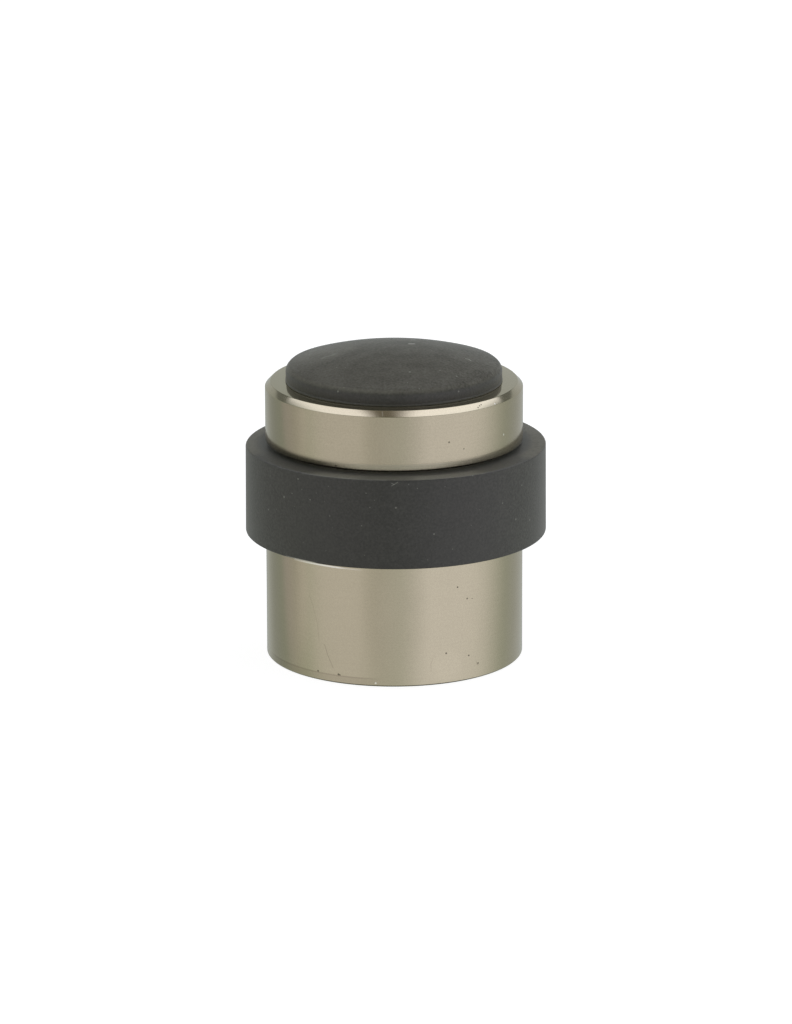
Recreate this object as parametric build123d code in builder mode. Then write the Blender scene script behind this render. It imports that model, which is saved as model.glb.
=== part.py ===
from build123d import *

import math
import os

# A floor door stop: a turned metal body with a rubber buffer ring in its groove and a rubber cap on top. The cap is
# pulled off to reach the floor screw, which is driven down the middle of the body, and then snaps in over its head.
# Millimetres. +Z is up, the axis of the body is Z, and the origin is the centre of the base on the floor.

# The body's outside, a plain cylinder with a broken edge at each end.
BODY_DIAMETER = 40.0
BODY_HEIGHT = 43.6
HEAD_CHAMFER = 0.85
BASE_CHAMFER = 0.2

# The groove that the buffer ring sits in, measured from the base and inwards from the body's outside.
GROOVE_BOTTOM = 19.75
GROOVE_DEPTH = 2.0
GROOVE_EDGE_BREAK = 0.15

# The rubber ring, which rests on the groove's lower wall and stands proud of the body all round.
RING_PROUD = 3.4
RING_HEIGHT = 14.0
RING_END_GAP = 0.55
RING_EDGE_BREAK = 0.3
RING_LEAD_IN = 0.5
RING_CLEARANCE = 0.05

# The hole down the middle: the floor screw's head and, above it, the cap's stem are in its wide upper part.
STEM_BORE_DIAMETER = 14.0
STEM_BORE_DEPTH = 14.0
SCREW_BORE_DIAMETER = 5.5
BORE_EDGE_BREAK = 0.4

# The cap above the body's top face, which it leaves bare at the edge: a slightly drafted wall, a soft shoulder and a
# shallow dome.
BARE_FACE_WIDTH = 2.35
CAP_WALL_HEIGHT = 2.4
CAP_WALL_DRAFT = 0.25
CAP_SHOULDER_BREAK = 0.25
CAP_DOME_RISE = 2.85

# The cap's stem, with a bead that snaps into a groove in the bore.
STEM_LENGTH = 8.5
STEM_CLEARANCE = 0.1
STEM_TIP_CHAMFER = 0.8
STEM_HOLLOW_DIAMETER = 7.0
STEM_HOLLOW_DEPTH = 6.5
BEAD_DEPTH = 5.0
BEAD_WIDTH = 1.6
BEAD_PROUD = 0.5
BEAD_CLEARANCE = 0.1

# The underside is turned back inside its rim, so that the body bears on the rim alone.
BASE_RIM_WIDTH = 3.0
BASE_RECESS_DEPTH = 0.6

# Lengths closer than this are the same when edges are chosen by their radius.
TOUCH = 1e-6

# Sizes that follow from the ones above.
body_radius = BODY_DIAMETER / 2
groove_radius = body_radius - GROOVE_DEPTH
ring_top = GROOVE_BOTTOM + RING_HEIGHT
groove_top = ring_top + RING_END_GAP
stem_bore_radius = STEM_BORE_DIAMETER / 2
screw_bore_radius = SCREW_BORE_DIAMETER / 2
screw_seat = BODY_HEIGHT - STEM_BORE_DEPTH
bead_height = BODY_HEIGHT - BEAD_DEPTH
snap_width = BEAD_WIDTH + 2 * BEAD_CLEARANCE

# The body, turned in one piece with its groove and bored from the top.
with BuildPart() as body:
    with BuildSketch(Plane.XZ):
        with BuildLine():
            Polyline(
                (0, 0),
                (body_radius, 0),
                (body_radius, GROOVE_BOTTOM),
                (groove_radius, GROOVE_BOTTOM),
                (groove_radius, groove_top),
                (body_radius, groove_top),
                (body_radius, BODY_HEIGHT),
                (0, BODY_HEIGHT),
                close=True,
            )
        make_face()
    revolve(axis=Axis.Z)
    rims = body.edges().filter_by(GeomType.CIRCLE).filter_by(lambda e: e.radius > groove_radius + TOUCH)
    base_rim, groove_bottom_rim, groove_top_rim, head_rim = rims.sort_by(Axis.Z)
    chamfer(base_rim, BASE_CHAMFER)
    chamfer([groove_bottom_rim, groove_top_rim], GROOVE_EDGE_BREAK)
    chamfer(head_rim, HEAD_CHAMFER)
    with BuildSketch():
        Circle(body_radius - BASE_RIM_WIDTH)
    extrude(amount=BASE_RECESS_DEPTH, mode=Mode.SUBTRACT)
    with Locations((0, 0, BODY_HEIGHT)):
        CounterBoreHole(screw_bore_radius, stem_bore_radius, STEM_BORE_DEPTH)
    # Both mouths of the hole have a broken edge: the stem's at the top and the screw's at the base.
    mouths = body.edges().filter_by(GeomType.CIRCLE).filter_by(lambda e: e.radius < stem_bore_radius + TOUCH)
    chamfer([mouths.sort_by(Axis.Z)[0], mouths.sort_by(Axis.Z)[-1]], BORE_EDGE_BREAK)
    # The snap groove for the cap's bead, turned in the wall of the bore with 45 degree flanks.
    with BuildSketch(Plane.XZ):
        with Locations((stem_bore_radius, bead_height)):
            Trapezoid(snap_width, BEAD_PROUD, 45, rotation=-90, align=(Align.CENTER, Align.MIN))
    revolve(axis=Axis.Z, mode=Mode.SUBTRACT)

# The buffer ring, moulded in rubber: broken outer edges, and a lead-in at both ends of its bore.
ring_radius = body_radius + RING_PROUD
ring_bore_radius = groove_radius + RING_CLEARANCE

with BuildPart() as buffer_ring:
    with BuildSketch(Plane.XZ):
        with BuildLine():
            Polyline(
                (ring_bore_radius, GROOVE_BOTTOM),
                (ring_radius, GROOVE_BOTTOM),
                (ring_radius, ring_top),
                (ring_bore_radius, ring_top),
                close=True,
            )
        make_face()
    revolve(axis=Axis.Z)
    ring_rims = buffer_ring.edges().filter_by(GeomType.CIRCLE).sort_by(SortBy.RADIUS)
    chamfer(ring_rims[:2], RING_LEAD_IN)
    chamfer(ring_rims[-2:], RING_EDGE_BREAK)

# The cap above the face: a drafted wall, a broken shoulder, and a dome whose arc is level at the axis.
cap_radius = body_radius - HEAD_CHAMFER - BARE_FACE_WIDTH
shoulder_radius = cap_radius - CAP_WALL_DRAFT
shoulder_height = BODY_HEIGHT + CAP_WALL_HEIGHT
rim_radius = shoulder_radius - CAP_SHOULDER_BREAK
cap_top = shoulder_height + CAP_DOME_RISE
dome_radius = (rim_radius**2 + CAP_DOME_RISE**2) / (2 * CAP_DOME_RISE)
dome_half_angle = math.degrees(math.asin(rim_radius / dome_radius))
stem_radius = stem_bore_radius - STEM_CLEARANCE
stem_tip = BODY_HEIGHT - STEM_LENGTH

with BuildPart() as top_cap:
    with BuildSketch(Plane.XZ):
        with BuildLine():
            Polyline(
                (0, cap_top),
                (0, stem_tip),
                (stem_radius - STEM_TIP_CHAMFER, stem_tip),
                (stem_radius, stem_tip + STEM_TIP_CHAMFER),
                (stem_radius, BODY_HEIGHT),
                (cap_radius, BODY_HEIGHT),
                (shoulder_radius, shoulder_height - CAP_SHOULDER_BREAK),
                (rim_radius, shoulder_height),
            )
            CenterArc((0, cap_top - dome_radius), dome_radius, 90 - dome_half_angle, dome_half_angle)
        make_face()
    revolve(axis=Axis.Z)
    # The bead that snaps into the groove of the bore.
    with BuildSketch(Plane.XZ):
        with Locations((stem_radius, bead_height)):
            Trapezoid(BEAD_WIDTH, BEAD_PROUD, 45, rotation=-90, align=(Align.CENTER, Align.MIN))
    revolve(axis=Axis.Z)
    # The stem is hollow from below, so that it gives as it is pressed in.
    with BuildSketch(Plane.XY.offset(stem_tip)):
        Circle(STEM_HOLLOW_DIAMETER / 2)
    extrude(amount=STEM_HOLLOW_DEPTH, mode=Mode.SUBTRACT)

body.part.label = "body"
buffer_ring.part.label = "buffer_ring"
top_cap.part.label = "top_cap"

os.makedirs("parts", exist_ok=True)
export_step(body.part, "parts/body.step")
export_step(buffer_ring.part, "parts/buffer_ring.step")
export_step(top_cap.part, "parts/top_cap.step")
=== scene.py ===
import math

import bmesh
import bpy
from mathutils import Matrix, Quaternion, Vector


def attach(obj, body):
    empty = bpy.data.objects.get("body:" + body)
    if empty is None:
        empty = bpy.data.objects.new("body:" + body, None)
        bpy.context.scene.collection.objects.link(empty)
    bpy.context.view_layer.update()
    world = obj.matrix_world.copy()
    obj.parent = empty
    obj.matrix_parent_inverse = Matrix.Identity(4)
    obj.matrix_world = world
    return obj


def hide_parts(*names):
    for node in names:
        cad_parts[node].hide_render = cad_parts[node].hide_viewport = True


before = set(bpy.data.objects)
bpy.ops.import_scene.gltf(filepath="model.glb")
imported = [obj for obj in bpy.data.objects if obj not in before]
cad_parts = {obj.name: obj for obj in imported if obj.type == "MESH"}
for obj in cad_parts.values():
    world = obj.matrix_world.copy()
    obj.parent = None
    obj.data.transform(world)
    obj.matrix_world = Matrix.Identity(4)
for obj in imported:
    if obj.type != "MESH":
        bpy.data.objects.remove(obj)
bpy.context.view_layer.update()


# The metal body
# A casting of zinc alloy turned to a plain cylinder, with a groove for the buffer ring, a chamfered head and
# a stepped hole down the middle for the floor screw. It is brushed on the lathe and plated in satin nickel.
# Sizes are in millimetres, and a corner is its distance from the axis and its height.
MM = 0.001
LATHE_STEPS = 288
WALL_R = 20.0
GROOVE_R = 18.0
GROOVE_FLOOR_Z = 19.75
GROOVE_ROOF_Z = 34.3
CHAMFER_Z = 42.75
FACE_Z = 43.6
BORE_R = 7.0
SCREW_R = 2.75
SCREW_SEAT_Z = 29.6
BASE_RIM_R = 17.0

foot = [(19.8, 0.0), (WALL_R, 0.2)]
groove_floor = [(WALL_R, 19.6), (19.85, GROOVE_FLOOR_Z), (GROOVE_R, GROOVE_FLOOR_Z)]
groove_roof = [(GROOVE_R, GROOVE_ROOF_Z), (19.85, GROOVE_ROOF_Z), (WALL_R, 34.45)]
head_chamfer = [(WALL_R, CHAMFER_Z), (19.15, FACE_Z)]
bore_mouth = [(7.4, FACE_Z), (BORE_R, 43.2)]
snap_groove = [(BORE_R, 39.5), (7.5, 39.0), (7.5, 38.2), (BORE_R, 37.7)]
screw_hole = [(BORE_R, SCREW_SEAT_Z), (SCREW_R, SCREW_SEAT_Z), (SCREW_R, 1.0), (3.15, 0.6)]
base_recess = [(BASE_RIM_R, 0.6), (BASE_RIM_R, 0.0)]


def begin_section(name, r, z):
    """A new piece as one point of its half section, at radius r and height z, left in edit mode."""
    bpy.ops.object.select_all(action="DESELECT")
    bpy.ops.mesh.primitive_plane_add(size=MM, location=(r * MM, 0, z * MM))
    piece = bpy.context.object
    piece.name = piece.data.name = name
    bpy.ops.object.transform_apply(location=True)
    bpy.ops.object.mode_set(mode="EDIT")
    bpy.ops.mesh.select_all(action="SELECT")
    bpy.ops.mesh.merge(type="CENTER")
    return piece


def draw_section(start, corners):
    """Extrudes the selected point from start through each corner in turn."""
    for r, z in corners:
        step = ((r - start[0]) * MM, 0, (z - start[1]) * MM)
        bpy.ops.mesh.extrude_region_move(TRANSFORM_OT_translate={"value": step})
        start = (r, z)


def turn_section():
    """Turns the drawn section about the axis into a closed skin whose faces point outwards."""
    bpy.ops.mesh.select_all(action="SELECT")
    bpy.ops.mesh.spin(steps=LATHE_STEPS, angle=math.tau, center=(0, 0, 0), axis=(0, 0, 1))
    bpy.ops.mesh.select_all(action="SELECT")
    bpy.ops.mesh.remove_doubles(threshold=1e-6)
    bpy.ops.mesh.normals_make_consistent(inside=False)


def break_rims(piece, rims, width, segments):
    """Rounds the rims at the given corners by that width in millimetres."""
    bpy.ops.mesh.select_all(action="DESELECT")
    mesh = bmesh.from_edit_mesh(piece.data)
    for edge in mesh.edges:
        ends = [(math.hypot(v.co.x, v.co.y) / MM, v.co.z / MM) for v in edge.verts]
        if any(math.dist(ends[0], rim) < 0.005 and math.dist(ends[1], rim) < 0.005 for rim in rims):
            edge.select_set(True)
    bmesh.update_edit_mesh(piece.data)
    bpy.ops.mesh.bevel(offset=width * MM, offset_type="OFFSET", segments=segments, affect="EDGES")


def leave_section(sharp_angle):
    """Back to object mode, with smooth shading that stops at edges sharper than sharp_angle degrees."""
    bpy.ops.object.mode_set(mode="OBJECT")
    bpy.ops.object.shade_smooth_by_angle(angle=math.radians(sharp_angle))


outside = foot + groove_floor + groove_roof + head_chamfer
inside = bore_mouth + snap_groove + screw_hole + base_recess
metal_body = begin_section("metal_body", BASE_RIM_R, 0.0)
draw_section((BASE_RIM_R, 0.0), outside + inside)
turn_section()
break_rims(metal_body, head_chamfer + groove_roof[1:], width=0.05, segments=3)
break_rims(metal_body, foot + groove_floor[:2] + base_recess[1:] + bore_mouth[:1], width=0.05, segments=2)
leave_section(35)


class Wire:
    """The output of a shader node, so that a pattern can be written as arithmetic."""

    def __init__(self, tree, socket=None):
        self.tree = tree
        self.socket = socket

    def node(self, kind, settings=(), inputs=(), output=0):
        """Any other node: its settings first, then the values or wires of its sockets."""
        made = self.tree.nodes.new(kind)
        for key, value in dict(settings).items():
            setattr(made, key, value)
        for key, value in dict(inputs).items():
            if isinstance(value, Wire):
                self.tree.links.new(value.socket, made.inputs[key])
            else:
                made.inputs[key].default_value = value
        return Wire(self.tree, made.outputs[output])

    def math(self, operation, *others, clamp=False):
        settings = {"operation": operation, "use_clamp": clamp}
        return self.node("ShaderNodeMath", settings, dict(enumerate((self,) + others)))

    def __add__(self, other):
        return self.math("ADD", other)

    def __sub__(self, other):
        return self.math("SUBTRACT", other)

    def __mul__(self, other):
        return self.math("MULTIPLY", other)

    def __rsub__(self, other):
        return self.math("MULTIPLY", -1.0).math("ADD", other)

    __radd__ = __add__
    __rmul__ = __mul__

    def limited(self):
        """Held between 0 and 1."""
        return self.math("ADD", 0.0, clamp=True)

    def fade(self, start, end, at_start=0.0, at_end=1.0):
        """A soft step, from at_start where the wire is start to at_end where it is end."""
        inputs = {"Value": self, "From Min": start, "From Max": end, "To Min": at_start, "To Max": at_end}
        return self.node("ShaderNodeMapRange", {"interpolation_type": "SMOOTHSTEP"}, inputs)

    def vector(self, operation, *others, output=0):
        inputs = dict(enumerate((self,) + others))
        return self.node("ShaderNodeVectorMath", {"operation": operation}, inputs, output)

    def scaled(self, by):
        return self.node("ShaderNodeVectorMath", {"operation": "SCALE"}, {0: self, "Scale": by})

    def parts(self):
        split = self.node("ShaderNodeSeparateXYZ", {}, {0: self})
        return [Wire(self.tree, socket) for socket in split.socket.node.outputs]

    def point(self, *parts):
        return self.node("ShaderNodeCombineXYZ", {}, dict(enumerate(parts)))

    def noise(self, scale, detail=2.0, roughness=0.5):
        inputs = {"Vector": self, "Scale": scale, "Detail": detail, "Roughness": roughness}
        return self.node("ShaderNodeTexNoise", {}, inputs)

    def tinted(self, first, second):
        """The colour first where the wire is 0, and second where it is 1."""
        return self.node("ShaderNodeMix", {"data_type": "RGBA"}, {0: self, 6: first, 7: second}, output=2)

    def spot(self, place, size):
        """1 within half of size of a place on the wire's own position, and 0 beyond size."""
        return self.vector("DISTANCE", place, output=1).fade(size * 0.5, size, 1.0, 0.0)

    def stroke(self, start, end, width):
        """1 along the straight line from start to end, fading to 0 at width from it."""
        way = Vector(end) - Vector(start)
        from_start = self.vector("SUBTRACT", start)
        along = from_start.vector("DOT_PRODUCT", tuple(way / way.length_squared), output=1)
        nearest = self.point(*[along.limited() * w + s for w, s in zip(way, start)])
        return self.vector("DISTANCE", nearest, output=1).fade(width * 0.3, width, 1.0, 0.0)

    def trail(self, points, width):
        """The strokes that join a chain of points."""
        drawn = self.stroke(points[0], points[1], width)
        for start, end in zip(points[1:], points[2:]):
            drawn = drawn.math("MAXIMUM", self.stroke(start, end, width))
        return drawn


def begin_material(name):
    """A new material, its surface node, and the place on the piece in millimetres as a wire."""
    material = bpy.data.materials.new(name)
    material.use_nodes = True
    tree = material.node_tree
    place = Wire(tree).node("ShaderNodeTexCoord", output="Object").scaled(1 / MM)
    return material, tree.nodes["Principled BSDF"], place


def feed(surface, inputs):
    """Links wires to the surface's sockets, and sets the plain values on them."""
    for name, value in inputs.items():
        if isinstance(value, Wire):
            value.tree.links.new(value.socket, surface.inputs[name])
        else:
            surface.inputs[name].default_value = value


def on_wall(radius, angle, z):
    """The place on a wall of that radius, angle degrees to the right of its front, at height z."""
    a = math.radians(angle)
    return (radius * math.sin(a), -radius * math.cos(a), z)


NICKEL_DULL = (0.50, 0.442, 0.326, 1)
NICKEL_BRIGHT = (0.66, 0.586, 0.436, 1)
FACE_NICKEL = (0.50, 0.45, 0.31, 1)
BRIGHT_METAL = (1.0, 0.96, 0.87, 1)
EDGE_LIGHT = (1.0, 0.92, 0.72, 1)
FLOOR_REFLECTION = (0.33, 0.27, 0.20, 1)
SCRATCH = (0.30, 0.25, 0.18, 1)
SOLE_SHADE = (0.20, 0.18, 0.14, 1)
HEAD_SHADE = (0.13, 0.12, 0.09, 1)
PORE = (0.10, 0.085, 0.06, 1)

nickel, surface, place = begin_material("satin_nickel_plating")
x, y, z = place.parts()
# Tool marks are rings: places equally far along the outline share them, and they drift slowly round it.
run = z - (x * x + y * y).math("SQRT")
fine = place.point(x * 0.05, y * 0.05, run * 6.0).noise(1.0, detail=3.0, roughness=0.7)
grain = place.noise(3.6, detail=2.0)
cloudy = place.noise(0.16, detail=2.0)
head = z.fade(CHAMFER_Z - 0.15, CHAMFER_Z + 0.1)
upper = z.fade(19.0, 35.0) - head
# The wall is made darker from the groove up to the head's chamfer.
tone = (fine - 0.5) * 0.3 + (grain - 0.5) * 0.6 + (cloudy - 0.5) * 0.25 - upper * 0.28 + 0.68
tone = tone + place.spot(on_wall(WALL_R, 24.0, 2.9), 3.0) * 0.12
colour = tone.limited().tinted(NICKEL_DULL, NICKEL_BRIGHT)

# Pores of the casting that the polishing opened: on the wall as angle, height and size, and on the chamfer.
pores = [
    (24.7, 38.37, 0.19), (32.1, 37.01, 0.135), (28.9, 15.23, 0.18), (33.9, 13.14, 0.18), (36.6, 12.98, 0.108),
    (23.3, 4.90, 0.198), (34.8, 3.95, 0.18), (40.0, 2.37, 0.18), (-36.2, 1.43, 0.198), (-25.6, 1.43, 0.216),
    (-24.9, 1.38, 0.144), (-26.4, 34.6, 0.198), (-26.9, 18.5, 0.108), (118.0, 9.4, 0.18),
    (-141.0, 38.9, 0.162), (163.0, 15.2, 0.18), (95.0, 40.2, 0.144), (-104.0, 6.1, 0.18),
]
chamfer_pores = [(19.75, 40.5, 43.0), (19.6, 41.8, 43.15), (19.5, 43.0, 43.25)]
pitted = sum(place.spot(on_wall(WALL_R, angle, height), size) for angle, height, size in pores)
pitted = pitted + sum(place.spot(on_wall(*pore), 0.14) for pore in chamfer_pores)

# Light scratches from handling, each as its strength and a chain of angles and heights.
scratches = [
    (0.65, [(-40.9, 13.3), (-39.1, 11.9), (-37.6, 10.4), (-36.4, 8.9), (-35.6, 6.5)]),
    (1.4, [(-32.6, 5.9), (-31.0, 4.3), (-28.3, 2.4)]),
    (1.0, [(39.0, 2.7), (39.4, 2.2), (40.4, 2.05)]),
    (0.6, [(17.2, 4.4), (16.1, 3.4), (16.3, 2.3)]),
    (1.0, [(146.0, 12.0), (149.0, 7.5)]),
]
scratched = sum(
    place.trail([on_wall(WALL_R, *point) for point in chain], 0.11) * strength
    for strength, chain in scratches
)

# A pale line on the wall just under the ring at the left, which fades out at both ends, and a few bright
# ticks show bare metal.
under_ring_line = [
    (-50.0, 18.38), (-47.3, 18.42), (-42.0, 18.48), (-36.8, 18.54), (-31.6, 18.56), (-27.0, 18.55),
    (-15.0, 18.53),
]
under_ring_line_ends = x.fade(-16.2, -12.0, 0.3, 1.0) * x.fade(-8.4, -4.9, 1.0, 0.12)
bright_marks = place.trail([on_wall(WALL_R, *point) for point in under_ring_line], 0.18) * under_ring_line_ends
bright_marks = bright_marks + place.spot(on_wall(WALL_R, 57.1, 37.63), 0.2)
bright_marks = bright_marks + place.spot(on_wall(WALL_R, -8.4, 0.57), 0.2)
bright_marks = bright_marks + place.spot(on_wall(19.8, 51.0, 42.9), 0.16)
bright_marks = bright_marks + place.stroke(on_wall(19.3, -5.3, 43.45), on_wall(19.8, -5.0, 42.95), 0.13) * 0.6

# A dark line near the foot on the left, with a darker band below it, is a painted reflection of the floor's
# shadow edge, and the sole's edge is painted dark as shade, most on the right.
reflection_side = x.fade(-6.0, -1.0, 1.0, 0.0) * y.fade(-9.0, -4.0, 1.0, 0.0)
reflected_line = z.fade(1.05, 1.25) * z.fade(1.25, 1.45, 1.0, 0.0)
floor_reflection = (reflected_line * 0.45 + z.fade(1.1, 1.3, 0.24, 0.0)) * reflection_side
sole_shade = z.fade(0.1, 0.28, 1.0, 0.0) * x.fade(0.0, 10.0, 0.3, 0.75)

# The wall just above the groove is painted dark as shade under the head, flecked by the grain, most of all on
# the left.
above_groove = z.fade(34.0, 34.2)
shade_sides = x.fade(-15.0, -3.0, 0.9, 0.0) + x.fade(2.0, 15.0, 0.25, 0.8)
shade_under_head = above_groove * z.fade(34.4, 35.7, 1.0, 0.0) * shade_sides
shade_under_head = (shade_under_head * grain.fade(0.3, 0.62, 0.55, 1.0)).limited()

# The head's lower edge in front is painted pale as a painted highlight, and is made rougher there.
front = x.fade(-12.0, -4.0) * x.fade(4.0, 13.0, 1.0, 0.3)
lit_edge_band = above_groove * z.fade(34.7, 35.6, 1.0, 0.0) * front

# painted shade along the sole's edge
colour = sole_shade.tinted(colour, SOLE_SHADE)
# painted highlight on the head's lower edge in front
colour = lit_edge_band.tinted(colour, EDGE_LIGHT)
# painted shade under the head
colour = (shade_under_head * 0.8).tinted(colour, HEAD_SHADE)
colour = (pitted * 0.8).limited().tinted(colour, PORE)
colour = (scratched * 0.26).limited().tinted(colour, SCRATCH)
# painted reflection of the floor's shadow edge near the foot
colour = floor_reflection.tinted(colour, FLOOR_REFLECTION)
# the pale line under the ring, and the bright ticks
colour = bright_marks.limited().tinted(colour, BRIGHT_METAL)
relief = (fine - 0.5) * 0.5 + (grain - 0.5) * 0.45 - pitted * 3.0 - scratched * 0.6
bump = place.node("ShaderNodeBump", {}, {"Strength": 0.3, "Distance": 0.00002, "Height": relief})
face = z.fade(FACE_Z - 0.1, FACE_Z)
polish = head.fade(0.0, 1.0, 0.17, 0.14) - face * 0.06
colour = (face * x.fade(-14.0, 14.0, 0.9, 0.6)).tinted(colour, FACE_NICKEL)
feed(surface, {
    "Base Color": colour,
    "Metallic": face.fade(0.0, 1.0, 1.0, 0.93),
    "Roughness": polish + (fine - 0.5) * 0.05 + lit_edge_band * 0.3,
    "Anisotropic": 0.3,
    "Anisotropic Rotation": 0.25,
    "Normal": bump,
})
metal_body.data.materials.append(nickel)
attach(metal_body, "root")
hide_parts("body")


# The buffer ring
# A wide band of black rubber that the door hits, moulded with softened edges. It is stretched over the head
# and rests on the lower wall of the body's groove, a little to one side of the axis.
RING_BORE_R = 18.05
RING_SIDESTEP = 0.25
ring_mouth = (18.55, GROOVE_FLOOR_Z)
ring_foot = (23.4, GROOVE_FLOOR_Z)
ring_rim = (23.32, 33.7)
ring_outline = [ring_foot, ring_rim, (18.55, 33.75), (RING_BORE_R, 33.25), (RING_BORE_R, 20.25), ring_mouth]
rubber_ring = begin_section("rubber_ring", *ring_mouth)
draw_section(ring_mouth, ring_outline)
turn_section()
break_rims(rubber_ring, [ring_rim], width=0.25, segments=4)
break_rims(rubber_ring, [ring_foot], width=0.22, segments=3)
bpy.ops.mesh.select_all(action="DESELECT")
for vertex in bmesh.from_edit_mesh(rubber_ring.data).verts:
    if math.hypot(vertex.co.x, vertex.co.y) > 22 * MM:
        vertex.select_set(True)
bpy.ops.transform.translate(value=(RING_SIDESTEP * MM, 0, 0))

# The top rim isn't quite level: it dips at the back left, where the band was last pulled over the head, and
# stands a hair high in front.
LIFT_HALF_ANGLE = 12
LIFT_FADE = 12
for middle, lift in ((-112, -0.28), (0, 0.08)):
    bpy.ops.mesh.select_all(action="DESELECT")
    for vertex in bmesh.from_edit_mesh(rubber_ring.data).verts:
        angle = math.degrees(math.atan2(vertex.co.x, -vertex.co.y))
        if vertex.co.z > 33 * MM and abs(angle - middle) < LIFT_HALF_ANGLE:
            vertex.select_set(True)
    bpy.ops.transform.translate(
        value=(0, 0, lift * MM), use_proportional_edit=True, proportional_size=LIFT_FADE * MM,
    )
leave_section(30)

BLACK = (0.0, 0.0, 0.0, 1)
PALE_RUBBER_AND_SHEEN = (0.046, 0.0445, 0.040, 1)
DUST_AND_HIGHLIGHT = (0.36, 0.36, 0.32, 1)
PALE_LINE = (0.95, 0.89, 0.78, 1)
DUST_THIN = (0.039, 0.037, 0.031, 1)
DUST_THICK = (0.205, 0.196, 0.164, 1)
PALE_DUST_AND_HIGHLIGHT = (0.55, 0.54, 0.47, 1)

rubber, surface, place = begin_material("black_rubber_moulded")
grain = place.noise(2.6, detail=3.0, roughness=0.65)
patchy = place.noise(0.35, detail=2.0)
across, behind, level = place.parts()
from_middle = across.math("ABSOLUTE")
from_axis = place.point(across, behind, 0.0).vector("LENGTH", output=1)
side = from_middle.fade(12.0, 22.0)
band = level.fade(34.0, 40.0, 1.0, 0.0)
facing_up = place.node("ShaderNodeTexCoord", output="Normal").parts()[2]
ring_top = facing_up.fade(0.6, 0.95) * level.fade(33.0, 33.3) * level.fade(36.0, 38.0, 1.0, 0.0)

# The grain is painted stronger at the rubber's left and right sides, and the rubber is painted paler there,
# the band most and a little darker in its middle, as painted sheen.
edge_sheen = side * 0.2 + from_middle.fade(21.0, 23.3) * 0.3 - 0.1
tone = (grain - 0.5) * (1.6 + side * 1.9) + (patchy - 0.5) * 0.3 + side * 0.05 + band * edge_sheen + 0.34
colour = tone.limited().tinted(BLACK, PALE_RUBBER_AND_SHEEN)

# Dust caught by the rubber: a scatter of fine specks, and the larger marks of handling, with painted
# highlights along the cap's lip and the ring's rim.
specks = place.node("ShaderNodeTexVoronoi", {}, {"Vector": place, "Scale": 0.8}).fade(0.05, 0.1, 1.0, 0.0)
# a painted highlight along the cap's lip
lip = level.fade(43.5, 43.62) * level.fade(43.86, 43.95, 1.0, 0.0)
marks = specks * patchy.fade(0.42, 0.6) * 0.3 + lip * 0.1
for radius, angle, height, size in (
    (23.17, -46.6, 29.2, 0.22), (23.15, -56.6, 26.3, 0.18), (23.34, 0.6, 29.5, 0.18),
    (23.43, 14.9, 25.15, 0.17), (23.57, 52.2, 25.15, 0.2), (23.6, 62.0, 24.1, 0.2),
    (23.17, -39.2, 32.6, 0.18), (23.53, 44.7, 28.35, 0.15), (23.55, 56.1, 30.2, 0.16),
    (23.14, -42.3, 30.1, 0.15), (23.19, -33.5, 29.7, 0.15),
    (14.2, 42.4, 46.72, 0.2), (11.1, 12.6, 47.56, 0.22), (16.7, 36.0, 45.15, 0.2), (16.7, -30.7, 45.4, 0.2),
):
    marks = marks + place.spot(on_wall(radius, angle, height), size) * 0.4
for chain, width, strength in (
    ([on_wall(23.32, -0.9, 32.95), on_wall(23.32, 1.3, 33.5)], 0.12, 0.30),
    ([on_wall(23.32, -0.9, 33.35), on_wall(23.32, -0.1, 33.15)], 0.12, 0.30),
    # a painted highlight along the front left of the ring's top rim
    ([on_wall(23.05, angle, 33.7) for angle in (-37, -30, -23, -16, -9, -3)], 0.35, 0.10),
    ([(2.39, 2.89, 48.57), (3.11, 3.1, 48.53)], 0.3, 0.8),
    ([(2.75, 7.38, 48.09), (3.22, 7.71, 48.02)], 0.3, 0.5),
    ([(11.06, -2.38, 47.45), (11.51, -2.29, 47.35), (11.86, -2.85, 47.24)], 0.16, 0.6),
    ([(-11.1, -2.1, 47.45), (-10.5, -1.4, 47.62), (-9.56, -1.3, 47.8), (-9.1, -0.8, 47.9)], 0.4, 0.10),
    ([(13.6, -5.2, 46.55), (13.8, -5.9, 46.45), (14.4, -5.9, 46.3), (14.5, -5.2, 46.3)], 0.14, 0.3),
):
    marks = marks + place.trail(chain, width) * strength
colour = marks.limited().tinted(colour, DUST_AND_HIGHLIGHT)

# A pale cream line along the ring's lower rim, at the left.
rim_line_points = [(-45.5, 19.83), (-40.0, 19.82), (-36.2, 19.81), (-31.0, 19.79)]
rim_line_ends = across.fade(-16.6, -14.0, 0.2, 0.75) * across.fade(-12.6, -11.6, 1.0, 0.0)
rim_line = place.trail([on_wall(23.18, *point) for point in rim_line_points], 0.24) * rim_line_ends
colour = rim_line.tinted(colour, PALE_LINE)
bump = place.node("ShaderNodeBump", {}, {"Strength": 0.5, "Distance": 0.00007, "Height": grain})
feed(surface, {
    "Base Color": colour,
    "Roughness": (grain - 0.5) * 0.12 + 0.43,
    "Specular IOR Level": 0.8,
    "Specular Tint": (1.0, 0.975, 0.93, 1),
    "Sheen Weight": 0.18,
    "Sheen Roughness": 0.6,
    "Sheen Tint": (1.0, 0.96, 0.88, 1),
    "Normal": bump,
})

# A film of fine warm dust dulls the cap's dome, and more thinly the ring's top. The film is painted thicker
# as soft highlights at the dome's left and right and along its shoulder, and is left off as painted shade at
# three places on the ring's top and next to the head.
# painted soft highlights on the dome's left and right
dome_highlights = place.spot((-10.9, 1.8, 47.6), 6.5) * 0.2 + place.spot((12.6, -2.6, 47.0), 5.0) * 0.08
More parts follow.
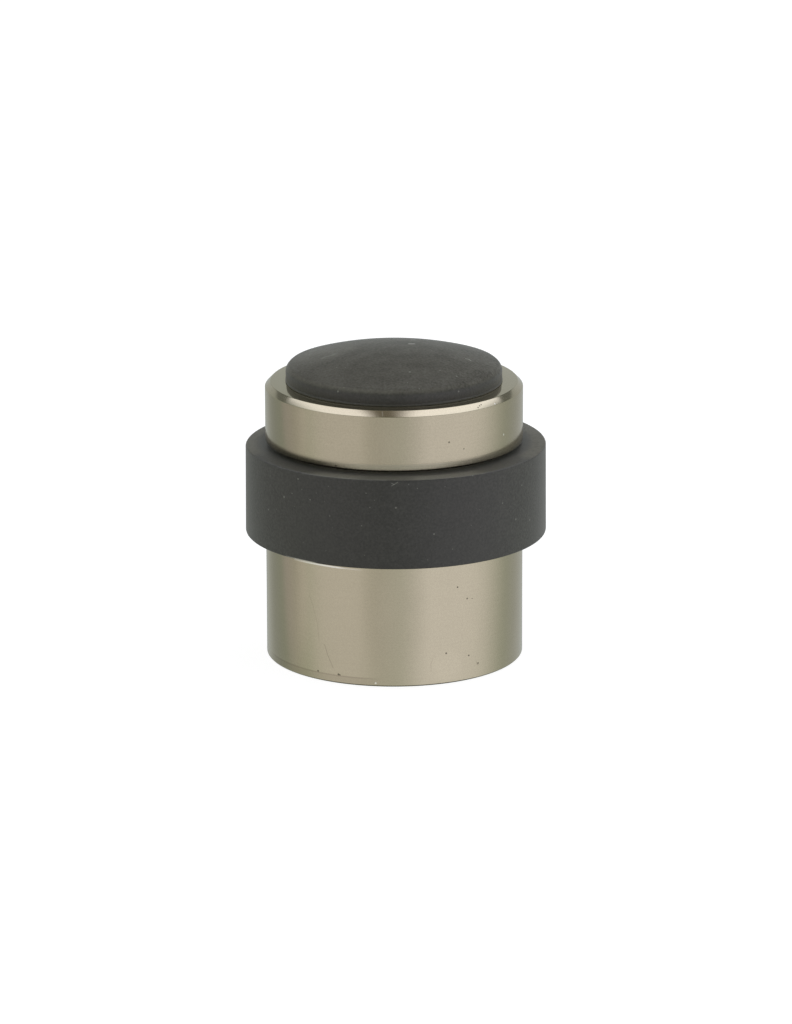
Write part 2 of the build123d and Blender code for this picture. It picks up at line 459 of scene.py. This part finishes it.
# a painted highlight along the dome's shoulder, strongest on the left
shoulder = level.fade(45.2, 45.7) * level.fade(45.8, 46.5, 1.0, 0.0) * across.fade(-4.0, 8.0, 1.0, 0.4)
speckle = (grain - 0.5) * across.fade(5.0, 14.0, 0.8, 1.3)
dust = speckle + (patchy - 0.5) * 0.4 + dome_highlights + shoulder * 0.16 + ring_top * 0.5 + 0.45
dust_colour = dust.limited().tinted(DUST_THIN, DUST_THICK)
dust_colour = marks.limited().tinted(dust_colour, PALE_DUST_AND_HIGHLIGHT)
# painted shade: the ring's top is left bare at its front and at both sides of the front
ring_top_shade = place.spot((16.8, -14.1, 33.7), 7.5) + place.spot((-17.2, -13.6, 33.7), 9.5) * 1.3
ring_top_shade = (ring_top_shade + place.spot((-1.5, -22.3, 33.7), 5.5) * 0.6).limited()
dome = level.fade(45.2, 45.9)
# the film stops short of the head, as painted shade next to it
cover = dome + ring_top * (1.0 - ring_top_shade) * from_axis.fade(20.5, 22.0) * 0.9
film = place.node("ShaderNodeBsdfPrincipled", {}, {
    "Base Color": dust_colour,
    "Roughness": (grain - 0.5) * 0.08 + 0.25,
    "Specular IOR Level": 0.03,
    "Specular Tint": (1.0, 0.97, 0.90, 1),
    "Sheen Weight": 0.06,
    "Sheen Roughness": 0.6,
    "Sheen Tint": (1.0, 0.955, 0.86, 1),
    "Normal": bump,
})
skin = Wire(place.tree, surface.outputs["BSDF"])
whole = place.node("ShaderNodeMixShader", {}, {0: cover, 1: skin, 2: film})
place.tree.links.new(whole.socket, place.tree.nodes["Material Output"].inputs["Surface"])
rubber_ring.data.materials.append(rubber)
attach(rubber_ring, "root")
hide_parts("buffer_ring")


# The cap
# A shallow dome of the same black rubber that hides the floor screw, with a thin lip where it meets the
# metal. Its hollow stem goes down into the body's hole, where a bead snaps into a groove.
DOME_RISE = 2.72
RIM_R = 16.8
RIM_Z = 46.0
STEM_R = 6.9
STEM_TIP_Z = 35.1
HOLLOW_R = 3.5
HOLLOW_Z = 41.6
stem_hollow = [(HOLLOW_R, HOLLOW_Z), (HOLLOW_R, STEM_TIP_Z)]
stem_outside = [(6.1, STEM_TIP_Z), (STEM_R, 35.9), (STEM_R, 37.8)]
snap_bead = [(7.4, 38.3), (7.4, 38.9), (STEM_R, 39.4)]
cap_lip = [(STEM_R, FACE_Z), (16.74, FACE_Z), (16.82, 43.68), (16.82, 43.85), (16.74, 43.98)]
cap_rim = (RIM_R, RIM_Z)
rubber_cap = begin_section("rubber_cap", 0.0, HOLLOW_Z)
draw_section((0.0, HOLLOW_Z), stem_hollow + stem_outside + snap_bead + cap_lip + [cap_rim])

# The dome's arc is spun on from the rim to the axis.
dome_r = (RIM_R ** 2 + DOME_RISE ** 2) / (2 * DOME_RISE)
dome_centre = (0, 0, (RIM_Z + DOME_RISE - dome_r) * MM)
bpy.ops.mesh.spin(steps=24, angle=math.asin(RIM_R / dome_r), center=dome_centre, axis=(0, 1, 0))
turn_section()
break_rims(rubber_cap, [cap_rim], width=0.9, segments=8)
leave_section(30)
rubber_cap.data.materials.append(rubber)
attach(rubber_cap, "root")
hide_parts("top_cap")


# The studio
# White paper under the stop and a tent of white cloth round it, lit from both sides and open at the camera.
# Two soft boxes hang overhead with a narrow gap between them. The paper lies a hair below the body's rim.
PAPER_WIDTH = 12
PAPER_DROP = 0.02
bpy.ops.object.select_all(action="DESELECT")
bpy.ops.mesh.primitive_plane_add(size=PAPER_WIDTH, location=(0, 0, -PAPER_DROP * MM))
paper = bpy.context.object
paper.name = "paper"
white, surface, place = begin_material("white_paper")
feed(surface, {
    "Base Color": (0.35, 0.35, 0.35, 1),
    "Roughness": 1.0,
    "Specular IOR Level": 0.0,
    "Emission Color": (1, 1, 1, 1),
    "Emission Strength": 0.86,
})
paper.data.materials.append(white)
paper.visible_glossy = paper.visible_diffuse = paper.visible_shadow = False

scene = bpy.context.scene
tent = bpy.data.worlds.new("tent")
scene.world = tent
tent.use_nodes = True
air = Wire(tent.node_tree)
direction = air.node("ShaderNodeTexCoord", output="Generated")
across, behind, above = direction.parts()


def glow(azimuth, elevation, outer, strength):
    """The light of one patch of the cloth, which fades out at outer degrees from its middle."""
    a, e = math.radians(azimuth), math.radians(elevation)
    middle = (math.sin(a) * math.cos(e), -math.cos(a) * math.cos(e), math.sin(e))
    nearness = direction.vector("DOT_PRODUCT", middle, output=1)
    return nearness.fade(math.cos(math.radians(outer)), 0.990, 0.0, strength)


# The cloth ends a little above the horizon, and the floor close to the stop is in its own shade.
CLOTH_TOP = (0.335, 0.373)
cloth = above.fade(*CLOTH_TOP, 1.0, 0.0) * above.fade(-0.9, -0.6, 0.3, 1.0)
paper_light = (glow(-125, -10, 34, -0.055) + 0.386) * cloth + above.fade(*CLOTH_TOP, 0.0, 0.165)
opening = glow(0, -12, 33, -0.152) * cloth
left_light = glow(-46, -10, 55, 0.285) * cloth
right_light = (glow(47, -10, 73, 0.46) + glow(140, 0, 50, 0.035)) * cloth
rear_light = glow(180, -5, 49, 0.075) * cloth
blush = glow(-101, -10, 21, 0.095) * cloth

# The soft boxes fill two windows of the ceiling, measured on a level one unit above the stop.
spread = above.math("MAXIMUM", 0.05).math("POWER", -1.0)
sideways = across * spread
backwards = behind * spread
left_window = sideways.fade(-1.65, -0.73) * sideways.fade(-0.375, -0.148, 1.0, 0.0)
right_window = sideways.fade(-0.05, 0.28) * sideways.fade(0.81, 1.73, 1.0, 0.0)
window_ends = backwards.fade(-0.61, -0.4) * backwards.fade(0.92, 1.14, 1.0, 0.0) * above.fade(0.05, 0.1)
windows = (left_window * 1.15 + right_window * 1.245) * window_ends

# The cloth's own colour is greenish in front, cooler behind and warm overhead, and each light adds its own.
cloth_colour = behind.fade(-0.3, 1.1).tinted((0.98, 1.14, 0.86, 1), (0.955, 1.015, 1.035, 1))
cloth_colour = above.fade(0.6, 0.95).tinted(cloth_colour, (1.1, 1.02, 0.86, 1))
light = cloth_colour.scaled(paper_light)
for shade, amount in (
    ((0.975, 0.965, 1.08), opening),
    ((1.04, 0.82, 1.20), left_light),
    ((0.98, 0.86, 1.19), right_light),
    ((1.0, 1.05, 0.84), rear_light),
    ((1.2, 0.7, 1.2), blush),
    ((0.94, 0.965, 1.10), windows),
):
    light = light.vector("ADD", air.point(*shade).scaled(amount))
seen = air.node("ShaderNodeLightPath", output="Is Camera Ray")
backdrop = tent.node_tree.nodes["Background"]
tent.node_tree.links.new(seen.tinted(light, (0.94, 0.95, 0.94, 1)).socket, backdrop.inputs["Color"])
backdrop.inputs["Strength"].default_value = 1.0


# The camera
# A long lens about 0.86 m off, which looks down on the stop by a little over 15 degrees. It is held a hair
# off level, as the photograph is.
CAMERA_DISTANCE = 0.858
CAMERA_ROLL = -0.14
camera = bpy.data.objects.new("camera", bpy.data.cameras.new("camera"))
scene.collection.objects.link(camera)
tilt = math.radians(15.455)
eye = Vector((0, -CAMERA_DISTANCE * math.cos(tilt), 0.025 + CAMERA_DISTANCE * math.sin(tilt)))
aim = Vector((0.000266, -0.000690, 0.022505))
looking = (aim - eye).to_track_quat("-Z", "Y") @ Quaternion((0, 0, 1), math.radians(CAMERA_ROLL))
camera.matrix_world = Matrix.Translation(eye) @ looking.to_matrix().to_4x4()
camera.data.sensor_width = 36
camera.data.lens = 193.64
camera.data.clip_start = 0.01
scene.camera = camera
scene.view_settings.view_transform = "Standard"
